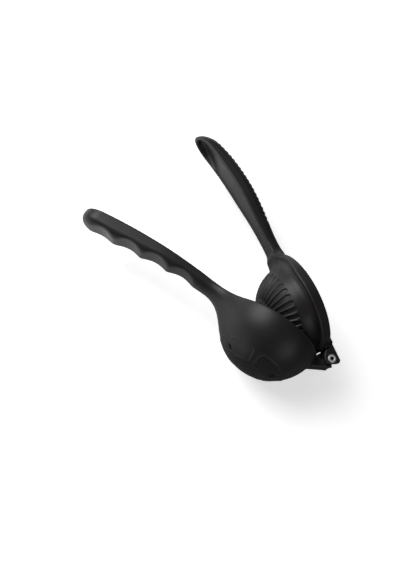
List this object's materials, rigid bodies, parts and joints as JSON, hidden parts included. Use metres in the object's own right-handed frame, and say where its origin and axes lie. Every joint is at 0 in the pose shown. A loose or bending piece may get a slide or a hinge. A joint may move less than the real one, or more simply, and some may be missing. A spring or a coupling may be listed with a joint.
{
  "type": "hinged lemon squeezer",
  "caption": "Hand-held hinged citrus squeezer: a cast half-ball bowl with drain slots on one lever and a fluted dome press on the other, joined by a hollow rivet.",
  "frame": {"origin": "middle of the hinge rivet, on its axis and on the squeezer's middle plane", "axes": "+X from the hinge along the bowl lever to its grip, +Y out of the bottom of the bowl, +Z along the hinge axis; the squeezer lies on its side on a plane below -Z"},
  "size_m": [0.2769, 0.1785, 0.1],
  "materials": {
    "coated_casting": "matte black powder coat on cast aluminium",
    "rivet_steel": "plain steel, rolled ends"
  },
  "bodies": {
    "bowl_side": {"bowl_lever": "coated_casting"},
    "press_side": {"press_lever": "coated_casting", "hinge_rivet": "rivet_steel"}
  },
  "joints": [
    {"name": "hinge", "type": "hinge", "parent": "bowl_side", "child": "press_side", "pos_m": [0, 0, 0], "axis": [0, 0, 1], "range_deg": [-89.5, 28.5]}
  ]
}
